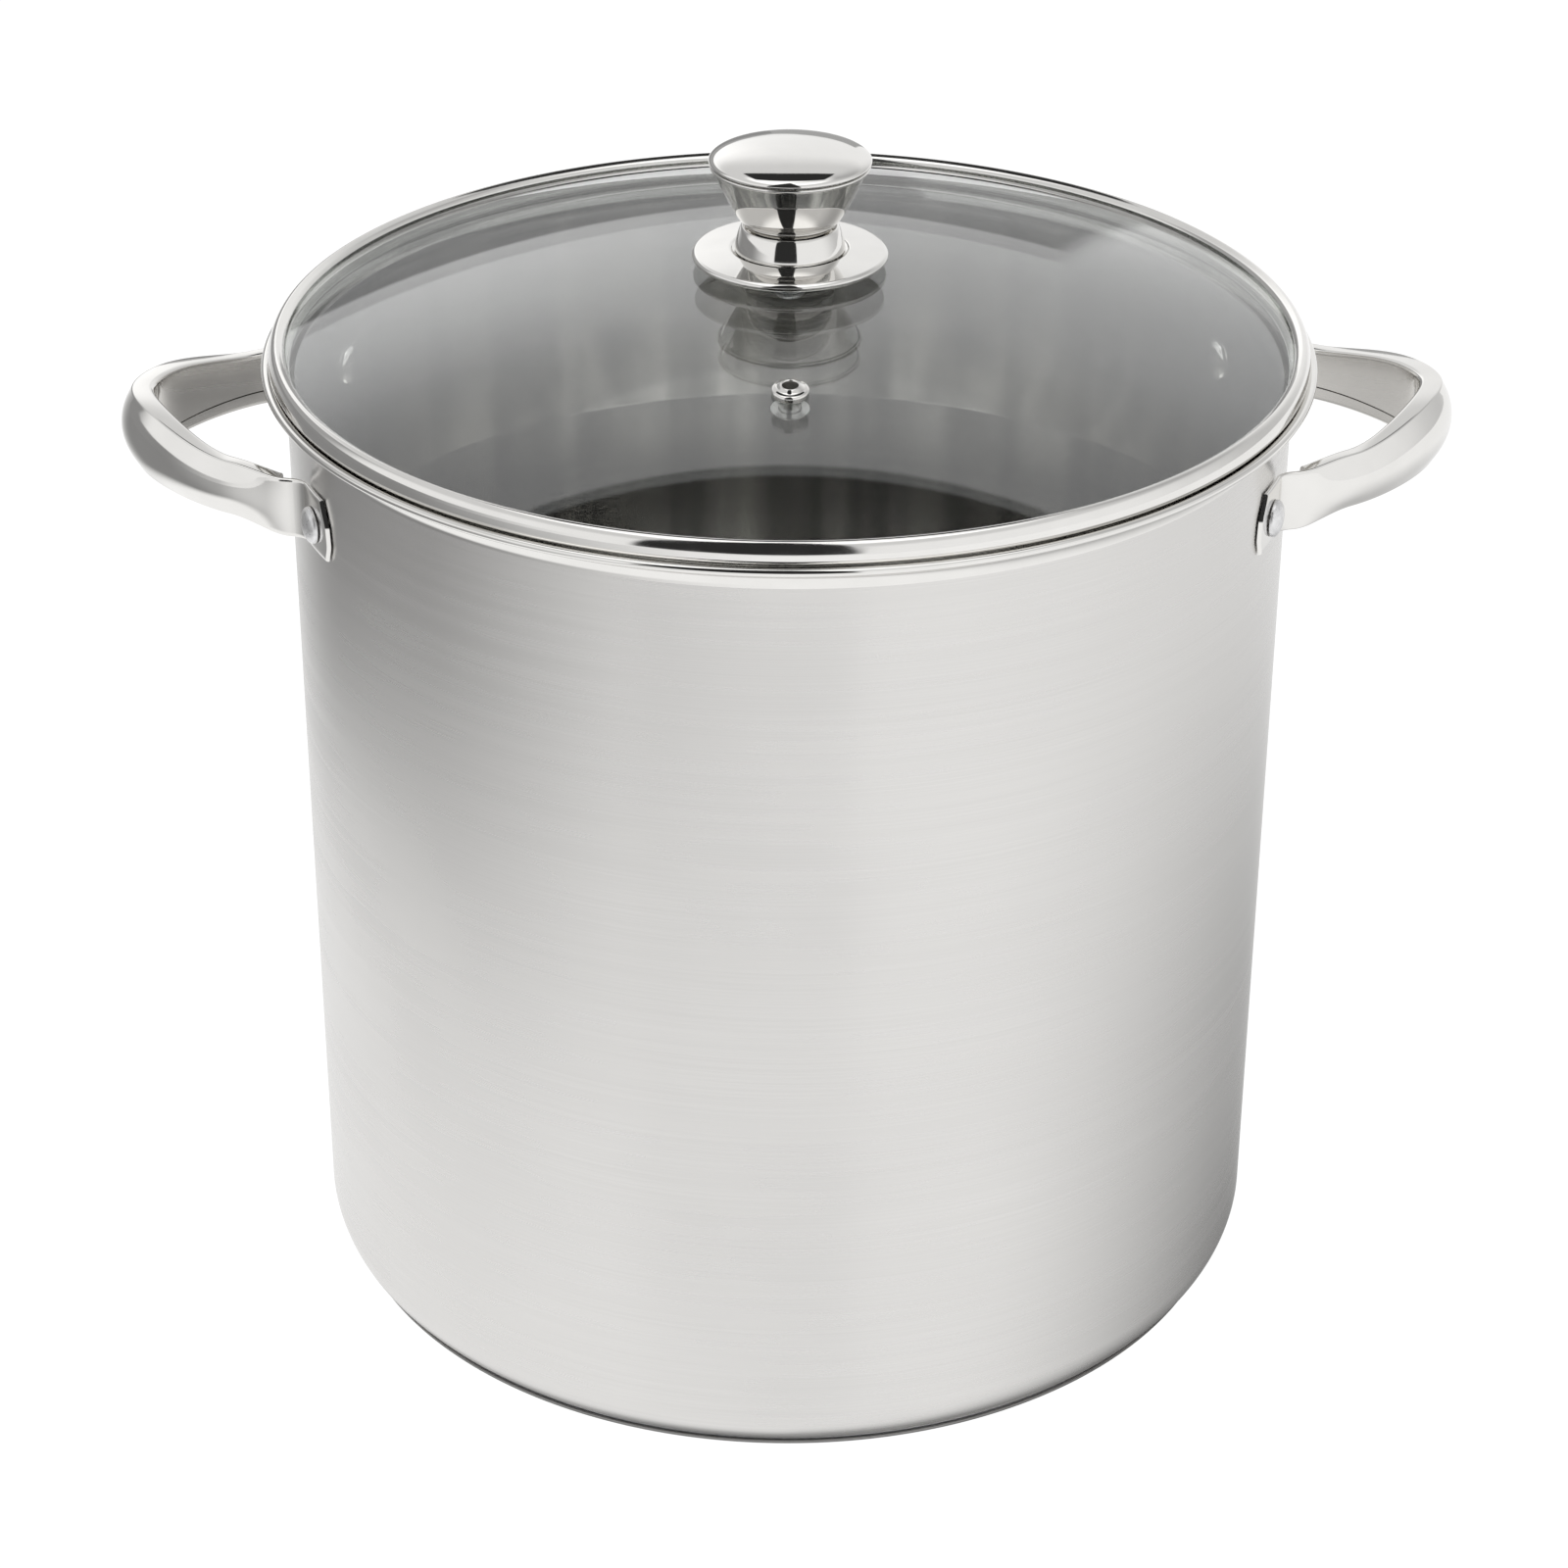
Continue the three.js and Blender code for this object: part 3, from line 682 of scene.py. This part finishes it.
def folded_side(shape, inset, ridge, edge, seam):
    """One skin of the folded sheet, from the seam's lower edge round to its upper edge."""
    depth, bulge, high, low = shape
    back = -depth + inset
    front = -inset
    low += inset
    high -= inset
    face = []
    for i in range(1, 16):
        share = i / 16
        rise = low + ridge + (high - low - 2 * ridge) * share
        face.append((front + bulge * (1 - (2 * share - 1) ** 2), rise))
    return [
        (back, HANDLE_SEAM_Z - seam),
        *arc((back + edge, low + edge), edge, edge, 180, 270, 6),
        *arc((front - ridge, low + ridge), ridge, ridge, 270, 340, 6),
        *face,
        *arc((front - ridge, high - ridge), ridge, ridge, 20, 90, 6),
        *arc((back + edge, high - edge), edge, edge, 90, 180, 6),
        (back, HANDLE_SEAM_Z + seam),
    ]


def handle_section(point):
    """Closed outline of the folded sheet at a point of the path, open only at its seam."""
    outward = blend_step(point.x, ARM_START.x, HANDLE_REACH)
    from_tab = blend_step(point.x, TAB_SECTION_X, ARM_START.x)
    shape = (
        HANDLE_DEPTHS[0] + (HANDLE_DEPTHS[1] - HANDLE_DEPTHS[0]) * outward,
        (HANDLE_BULGE - HANDLE_TIP_BULGE) * from_tab + HANDLE_TIP_BULGE * outward,
        HANDLE_TOPS[0] + HANDLE_TOPS[1] * from_tab + HANDLE_TOPS[2] * outward,
        HANDLE_BOTTOMS[0] + HANDLE_BOTTOMS[1] * from_tab + HANDLE_BOTTOMS[2] * outward,
    )
    seam = HANDLE_SEAM_GAP / 2
    outer = folded_side(shape, 0, HANDLE_RIDGE_R, HANDLE_EDGE_R, seam)
    inner = folded_side(shape, HANDLE_SHEET, INNER_RIDGE_R, INNER_EDGE_R, seam)
    return outer + inner[::-1]


def mirrored(stations):
    """The same stations seen across the X axis, in reverse order."""
    flip = Vector((1, -1))
    return [(point * flip, outward * flip) for point, outward in reversed(stations)]


def wrap_cutter(side):
    """Clears everything behind the outer face, from the wrap's end to the tab's end."""
    stations = half_handle_path()
    start = next(i for i, (point, _) in enumerate(stations) if point.x <= WRAP_END.x + 0.01)
    stations = stations[start:]
    point, outward = stations[-1]
    stations.append((point + Vector((-outward.y, outward.x)) * WRAP_OVERRUN, outward))
    if side < 0:
        stations = mirrored(stations)
    low, high = WRAP_SPAN_Z
    section = [(WRAP_BACK, low), (WRAP_FACE, low), (WRAP_FACE, high), (WRAP_BACK, high)]
    return loft("tool", stations, lambda _: section)


def tab_trimmer(side):
    """Prism outside the tab's slanted and rounded free end."""
    outline = rounded(TAB_TRIM, TAB_CORNER_R)
    vertices = [(x, side * y, z) for x in TRIM_REACH for y, z in outline]
    count = len(outline)
    faces = [tuple(range(count)), tuple(range(2 * count - 1, count - 1, -1))]
    for k in range(count):
        after = (k + 1) % count
        faces.append((k, k + count, after + count, after))
    if side > 0:
        faces = [face[::-1] for face in faces]
    return mesh_object("tool", vertices, faces)


def handle(side):
    """Folded-sheet loop handle on one side of the pot, with a riveted tab at each end."""
    half = half_handle_path()
    loop = loft("handle", mirrored(half[1:]) + half, handle_section)
    tools = [make(way) for way in (-1, 1) for make in (wrap_cutter, tab_trimmer)]
    for way in (-1, 1):
        tools.append(cylinder(RIVET_HOLE_R, *TAB_DRILL, radial(way * RIVET_ANGLE, RIVET_Z)))
    cut(loop, tools)
    if side == "left":
        loop.data.transform(Matrix.Rotation(math.pi, 4, "Z"))
    stand_for(loop, "handle_" + side, HANDLE_STEEL)


def rivet(side, end):
    """Domed rivet through a tab and the wall."""
    back = INNER_R - TAB_SURFACE_R - RIVET_GAP
    head = RIVET_GAP
    outline = [
        (0, back - RIVET_BACK_H),
        *arc((0, back), RIVET_BACK_R, RIVET_BACK_H, -80, -8, 12),
        (RIVET_BACK_R, back),
        (RIVET_SHANK_R, back),
        (RIVET_SHANK_R, head),
        (RIVET_HEAD_R, head),
        *arc((0, head + RIVET_EDGE_H), RIVET_HEAD_R, RIVET_HEAD_H - RIVET_EDGE_H, 8, 80, 12),
        (0, head + RIVET_HEAD_H),
    ]
    pin = lathe("rivet", outline, SMALL_SEGMENTS)
    for face in pin.data.polygons:
        face.material_index = 1 if face.center.z < 0 else 0
    is_left = side == "left"
    angle = RIVET_ANGLE if (end == "rear") != is_left else -RIVET_ANGLE
    place(pin, radial(angle + 180 * is_left, RIVET_Z, TAB_SURFACE_R))
    stand_for(pin, f"rivet_{side}_{end}", RIVET, POLISHED)


def dome_z(distance, radius=DOME_R):
    """Height of a sphere about the dome's centre, at a distance from the axis."""
    return DOME_TOP_Z - DOME_R + math.sqrt(radius ** 2 - distance ** 2)


def vent_matrix():
    """Place of the vent: square to the dome, off the axis."""
    tilt = math.asin(VENT_DISTANCE / DOME_R)
    turn = Matrix.Rotation(math.radians(VENT_ANGLE), 4, "Z")
    spot = Matrix.Translation((VENT_DISTANCE, 0, dome_z(VENT_DISTANCE)))
    return turn @ spot @ Matrix.Rotation(tilt, 4, "Y")


def lid_glass():
    """Shallow dome of tempered glass with its centre hole and vent hole."""
    steps = 28
    stops = [GLASS_HOLE_R + (GLASS_R - GLASS_HOLE_R) * i / steps for i in range(steps + 1)]
    outline = [(r, dome_z(r, DOME_R - GLASS_T)) for r in stops]
    outline += [(r, dome_z(r)) for r in reversed(stops)]
    dome = lathe("dome", outline, BIG_SEGMENTS)
    cut(dome, [cylinder(VENT_HOLE_R, -10, 10, vent_matrix())])
    stand_for(dome, "lid_glass", GLASS)


def lid_rim():
    """Polished band rolled round the edge of the glass."""
    outer = reach("lid_rim")
    crest = top("lid_rim")
    roll = ((outer + BAND_INNER_R) / 2, crest - BAND_ROLL_H)
    profile = [
        (148.4, 298.6), (150.0, 297.4), (151.2, 297.75), (152.6, 298.75), (154.4, 299.6),
        *arc(roll, outer - roll[0], BAND_ROLL_H, 0, 90, 20),
        (150.6, crest - 0.7), (149.8, crest - 1.7), (149.8, 303.9),
        (151.6, 303.5), (151.6, 298.4), (148.6, 299.3),
    ]
    stand_for(lathe("band", rounded(profile, 0.5, 4), BIG_SEGMENTS), "lid_rim", BAND)


def vent():
    """Eyelet curled over a backing ring."""
    profile = [
        (2.25, -5.9), (4.3, -5.9), (4.3, -5.3), (3, -5.2), (3, 0.2), (5.4, 0.2),
        (5.4, 1.7), (4.9, 2.2), (3.9, 2.4), (3.2, 3.0), (2.7, 3.4), (2.25, 3.1),
    ]
    eyelet = lathe("eyelet", rounded(profile, 0.35), SMALL_SEGMENTS)
    for face in eyelet.data.polygons:
        face.material_index = 1 if face.center.z < -VENT_DULL_DEPTH * MM else 0
    place(eyelet, vent_matrix())
    stand_for(eyelet, "vent_eyelet", POLISHED, DISH)
    plate = lathe("ring", rounded(washer_outline(3.3, 5.5, 0.6), 0.15), SMALL_SEGMENTS)
    place(plate, vent_matrix() @ Matrix.Translation((0, 0, -VENT_RING_DEPTH)))
    stand_for(plate, "vent_back_ring", DISH)


def washer_outline(inner, outer, height):
    """Square-edged ring that stands on height 0."""
    return [(inner, 0), (outer, 0), (outer, height), (inner, height)]


def knob_cap():
    """Low domed cap, a flattened ellipsoid down to its widest ring."""
    outer = reach("knob_cap")
    inner = outer - KNOB_SHEET
    crown = top("knob_cap")
    z = crown - CAP_RISE
    outline = [
        (0, crown - KNOB_SHEET),
        *arc((0, z), inner, CAP_RISE - KNOB_SHEET, 90, 0, 24)[1:],
        (inner, z - CAP_SKIRT),
        (outer - 0.1, z - CAP_SKIRT),
        *arc((0, z), outer, CAP_RISE, 0, 90, 40)[:-1],
        (0, crown),
    ]
    stand_for(lathe("cap", outline, KNOB_SEGMENTS), "knob_cap", POLISHED)


def knob_cup():
    """Bowl under the cap, with a flat floor on the collar and a beaded upper edge."""
    foot = base("knob_cup")
    bowl = bezier([(12.9, 0.7), (16.4, 3.9), (19.6, 10.6), (22.6, 18.0)], 20)
    outer = [tuple(p) for p in bowl]
    inner = [(r - KNOB_SHEET, z + 0.5) for r, z in reversed(outer[:-1])]
    bead = arc((23.05, 19.05), 0.65, 0.6, -110, 110, 14)
    profile = [(BORE_R, 0), (12, 0), *outer, *bead, *inner, (11.6, KNOB_SHEET), (BORE_R, KNOB_SHEET)]
    stand_for(lathe("cup", raised(profile, foot), KNOB_SEGMENTS), "knob_cup", POLISHED)


def knob_collar():
    """Flared collar between flange and cup, closed by a recessed top plate."""
    profile = [
        (15.7, 0), (16.5, 0), (15.95, 2.7), (15.15, 5.4), (14.5, 6.9), (14.1, 7.3), (13.7, 7.2),
        (13.4, 6.2), (BORE_R, 6.2), (BORE_R, 5.4), (13.6, 5.4), (15.1, 2.6),
    ]
    collar = lathe("collar", raised(rounded(profile, 1.2), base("knob_collar")), KNOB_SEGMENTS)
    stand_for(collar, "knob_collar", POLISHED)


def knob_flange():
    """Saucer on the glass with a rolled rim, dished down to the gasket at its centre."""
    under = base("knob_flange")
    foot = under + FLANGE_LIFT
    seat = base("knob_collar") - COLLAR_GAP
    near, far = FLANGE_RADII
    dome = (0, seat + FLANGE_CROWN - math.sqrt(FLANGE_DOME_R ** 2 - near ** 2))
    start, end = (math.degrees(math.acos(r / FLANGE_DOME_R)) for r in FLANGE_RADII)
    skin = FLANGE_DOME_R - KNOB_SHEET
    profile = [
        (BORE_R, under), (11.9, under), (13.1, seat - KNOB_SHEET), (17.2, seat - KNOB_SHEET),
        *arc(dome, skin, skin, start, end, 8),
        (far, foot), (28.8, foot), (29.2, foot + 1.2),
        *arc(dome, FLANGE_DOME_R, FLANGE_DOME_R, end, start, 12),
        (17.0, seat), (12.5, seat), (11.5, under + KNOB_SHEET), (BORE_R, under + KNOB_SHEET),
    ]
    flange = lathe("flange", rounded(profile, 0.5), KNOB_SEGMENTS)
    stand_for(flange, "knob_flange", POLISHED)


def knob_post():
    """Threaded post fixed in the cup, open from below for the screw."""
    profile = [(0, 9.1), (2.8, 9.1), (2.8, 0), (5.5, 0), (5.5, 9.9), (4.8, 10.5), (0, 10.5)]
    post = lathe("post", raised(rounded(profile, 0.3), base("knob_insert")), SMALL_SEGMENTS)
    stand_for(post, "knob_insert", ZINC)


def knob_screw():
    """Pan-head screw with a cross slot."""
    foot = base("knob_screw")
    profile = [
        (0, 0), (3.6, 0.1), (4.75, 1.4), (4.75, 2.8),
        (SCREW_R, 2.8), (SCREW_R, 30.6), (1.9, 31.4), (0, 31.4),
    ]
    bolt = lathe("bolt", raised(rounded(profile, 0.5), foot), SMALL_SEGMENTS)
    cut(bolt, [box_tool(5, 0.9, foot, 3.2), box_tool(0.9, 5, foot, 3.2)])
    stand_for(bolt, "knob_screw", ZINC)


def washers():
    """Split lock washer, flat washer and the silicone washer under the glass."""
    foot = base("spring_washer")
    split = raised(rounded(washer_outline(BORE_R, 4.6, 1), 0.15), foot)
    split = cut(lathe("split", split, SMALL_SEGMENTS), [box_tool(3, 0.6, foot, 4, 4)])
    stand_for(split, "spring_washer", ZINC)
    for node, outer, material in (("screw_washer", 9, ZINC), ("gasket_bottom", 10, SILICONE)):
        ring = raised(rounded(washer_outline(BORE_R, outer, 0.8), 0.25), base(node))
        stand_for(lathe("ring", ring, SMALL_SEGMENTS), node, material)


def sleeved_gasket():
    """Silicone washer on the glass, with a sleeve through its hole."""
    profile = [(2.8, 0), (4.6, 0), (4.6, 3.95), (13.5, 3.95), (13.5, 4.7), (2.8, 4.7)]
    gasket = lathe("gasket", raised(rounded(profile, 0.25), base("gasket_top")), SMALL_SEGMENTS)
    stand_for(gasket, "gasket_top", SILICONE)


pot_shell()
base_pieces()
for which in ("left", "right"):
    handle(which)
    for end in ("front", "rear"):
        rivet(which, end)
lid_glass()
lid_rim()
vent()
knob_cap()
knob_cup()
knob_collar()
knob_flange()
knob_post()
knob_screw()
washers()
sleeved_gasket()


# ---------------------------------------------------------------- studio

# Camera: millimetres from the pot's axis and above the floor, then degrees, then the lens in millimetres
CAMERA_DISTANCE = 1097.8
CAMERA_HEIGHT = 749.0
CAMERA_TURN = -1.6
CAMERA_PITCH = 28.64
CAMERA_ROLL = 0.25
CAMERA_SWING = 0.054
LENS = 90.54
SENSOR = 36.0

# Floor: half width in millimetres, brightness to the camera, and matt share when mirrored or seen
FLOOR_HALF = 4000
FLOOR_SEEN = 1.1
FLOOR_MATT_SHARES = (0.1, 0.08)

# Floor as the steel mirrors it: metres from the pot's axis, and turns of the mirrored ray in degrees
CONTACT_SHADE = (0.146, 0.149, 0.25, 1.12)
RIGHT_NEAR = (0.14, 0.2, 0.5, 1.0)
RIGHT_SPREAD = (0.1, 0.85, 0.35, 0.95)
RIGHT_TURNS = ((40, 140), (150, 180))
LEFT_FAR = (0.42, 0.56, 0.0, 0.78)
LEFT_TURNS = ((-175, -125), (-95, 0))

# Sky: rises and turns in degrees, the turns to the right from straight behind the pot or from the camera
GROUND_EDGE = (0.43, 7.5)
GROUND_SOFTNESS = 0.4
GROUND_TURNS = ((-80, -60), (10.5, 11.5))
GROUND_LIGHT = 0.42
CEILING_RISE = (49.7, 50.3)
CEILING_START = (0.22, 0.28)
CEILING_SIDE = (0.37, 0.40)
CAMERA_GAP_TURNS = ((-35, -32), (12, 14))
CAMERA_GAP_RISE = (-3, 2)
DARK_LIGHT = 0.03
LEFT_LOW_TURNS = (-90, -40)
LEFT_LOW_RISE = (5, 7)
LEFT_LOW_LIGHT = 0.3
LEFT_BOX_TURNS = ((-75, -50), (-12, 5))
LEFT_BOX_FOOT = (8, 12)
LEFT_BOX_TOP = (20, 34, 0.3, 0.0)
RIGHT_SIDE_TURNS = ((20, 60), (60, 110))
RIGHT_SIDE_LOSS = -0.35
UPPER_SKY = (26, 40, 1.0, 0.76)
TOP_SKY = (55, 65, 0.0, 0.7)


def floor_level(g, distance, ray):
    """Brightness of the mirrored floor, by its distance and the way the ray runs."""
    turned = g.degrees("ARCTAN2", g.product(ray[0], -1.0), ray[1])
    # The right-hand floor is dim near the pot, the left-hand floor is dim farther off
    lit_right = g.product(g.ramp(distance, *RIGHT_NEAR), g.ramp(distance, *RIGHT_SPREAD))
    right = g.product(g.window(turned, *RIGHT_TURNS), g.math("SUBTRACT", 1.0, lit_right))
    left = g.product(g.window(turned, *LEFT_TURNS), g.ramp(distance, *LEFT_FAR))
    lit = g.math("SUBTRACT", 1.0, g.math("ADD", left, right))
    return g.product(lit, g.ramp(distance, *CONTACT_SHADE))


def floor():
    """Pale floor, plain to the camera, that the steel mirrors with dim patches on both sides."""
    half = FLOOR_HALF
    corners = [(-half, -half, 0), (half, -half, 0), (half, half, 0), (-half, half, 0)]
    ground = mesh_object("floor", corners, [(0, 1, 2, 3)])
    material = bpy.data.materials.new("pale_floor")
    g = Graph(material)
    geometry = g.add("NewGeometry").outputs
    distance = g.add("VectorMath", {0: geometry["Position"]}, operation="LENGTH").outputs["Value"]
    ray = g.add("SeparateXYZ", {0: geometry["Incoming"]}).outputs
    level = floor_level(g, distance, ray)
    seen = g.add("LightPath").outputs["Is Camera Ray"]
    glow = g.add("Emission", {"Strength": g.mix(seen, level, FLOOR_SEEN)}).outputs[0]
    matt = g.add("BsdfDiffuse", {"Color": (0.9, 0.9, 0.9, 1)}).outputs[0]
    g.output(g.add("MixShader", {0: g.mix(seen, *FLOOR_MATT_SHARES), 1: glow, 2: matt}).outputs[0])
    ground.data.materials.append(material)


def dim_ground(g, rise, ahead):
    """Low, dim ground behind the pot, up to the slanted lower edge of the big soft box."""
    edge = g.math("MULTIPLY_ADD", g.math("ABSOLUTE", ahead), *GROUND_EDGE)
    below = g.ramp(g.math("SUBTRACT", rise, edge), -GROUND_SOFTNESS, GROUND_SOFTNESS, 1.0, 0.0)
    return g.product(below, g.window(ahead, *GROUND_TURNS))


def dark_ceiling(g, way, rise):
    """Dark ceiling beyond the soft box, with straight edges."""
    height = g.math("MAXIMUM", way[2], 0.01)
    across = g.math("ABSOLUTE", g.math("DIVIDE", way[0], height))
    along = g.math("DIVIDE", way[1], height)
    beyond = g.product(g.ramp(rise, *CEILING_RISE), g.ramp(along, *CEILING_START))
    return g.product(beyond, g.ramp(across, *CEILING_SIDE, 1.0, 0.0))


def camera_gap(g, rise, facing):
    """Dark slot where the camera stands."""
    return g.product(g.window(facing, *CAMERA_GAP_TURNS), g.ramp(rise, *CAMERA_GAP_RISE))


def left_low(g, rise, facing):
    """Dim floor on the left, which runs on a little above the horizon."""
    return g.product(g.ramp(facing, *LEFT_LOW_TURNS, 1.0, 0.0), g.ramp(rise, *LEFT_LOW_RISE, 1.0, 0.0))


def left_box(g, rise, ahead):
    """Extra light of the soft box over the left-hand floor."""
    upright = g.product(g.ramp(rise, *LEFT_BOX_FOOT), g.ramp(rise, *LEFT_BOX_TOP))
    return g.product(g.window(ahead, *LEFT_BOX_TURNS), upright)


def studio_light():
    """Soft light all round, with dark stretches that give the steel its contrast."""
    world = bpy.data.worlds.new("studio")
    bpy.context.scene.world = world
    g = Graph(world)
    way = g.add("SeparateXYZ", {0: g.add("TexCoord").outputs["Generated"]}).outputs
    rise = g.degrees("ARCSINE", way[2])
    ahead = g.degrees("ARCTAN2", way[0], way[1])
    facing = g.degrees("ARCTAN2", way[0], g.product(way[1], -1.0))
    right_side = g.window(ahead, *RIGHT_SIDE_TURNS)
    level = g.math("MULTIPLY_ADD", right_side, RIGHT_SIDE_LOSS, 1.0)
    level = g.math("ADD", level, left_box(g, rise, ahead))
    level = g.product(level, g.math("ADD", g.ramp(rise, *UPPER_SKY), g.ramp(rise, *TOP_SKY)))
    level = g.mix(dim_ground(g, rise, ahead), level, GROUND_LIGHT)
    level = g.mix(left_low(g, rise, facing), level, LEFT_LOW_LIGHT)
    dark = g.math("MAXIMUM", dark_ceiling(g, way, rise), camera_gap(g, rise, facing))
    level = g.mix(dark, level, DARK_LIGHT)
    seen = g.add("LightPath").outputs["Is Camera Ray"]
    sky = g.add("Background", {"Color": (1, 1, 1, 1), "Strength": g.mix(seen, level, 1.0)}).outputs[0]
    g.output(sky, "OutputWorld")


def camera():
    """Camera at the photograph's angle."""
    data = bpy.data.cameras.new("camera")
    data.lens = LENS
    data.sensor_width = SENSOR
    data.clip_start = 0.05
    data.clip_end = 50
    view = bpy.data.objects.new("camera", data)
    turn = math.radians(CAMERA_TURN)
    behind = -math.cos(turn) * CAMERA_DISTANCE
    view.location = Vector((math.sin(turn) * CAMERA_DISTANCE, behind, CAMERA_HEIGHT)) * MM
    heading = Matrix.Rotation(turn + math.radians(CAMERA_SWING), 4, "Z")
    pitch = Matrix.Rotation(math.radians(90 - CAMERA_PITCH), 4, "X")
    roll = Matrix.Rotation(math.radians(CAMERA_ROLL), 4, "Z")
    view.rotation_euler = (heading @ pitch @ roll).to_euler()
    bpy.context.scene.collection.objects.link(view)
    bpy.context.scene.camera = view


floor()
studio_light()
camera()
bpy.context.scene.view_settings.view_transform = "Standard"
bpy.context.scene.cycles.glossy_bounces = 10
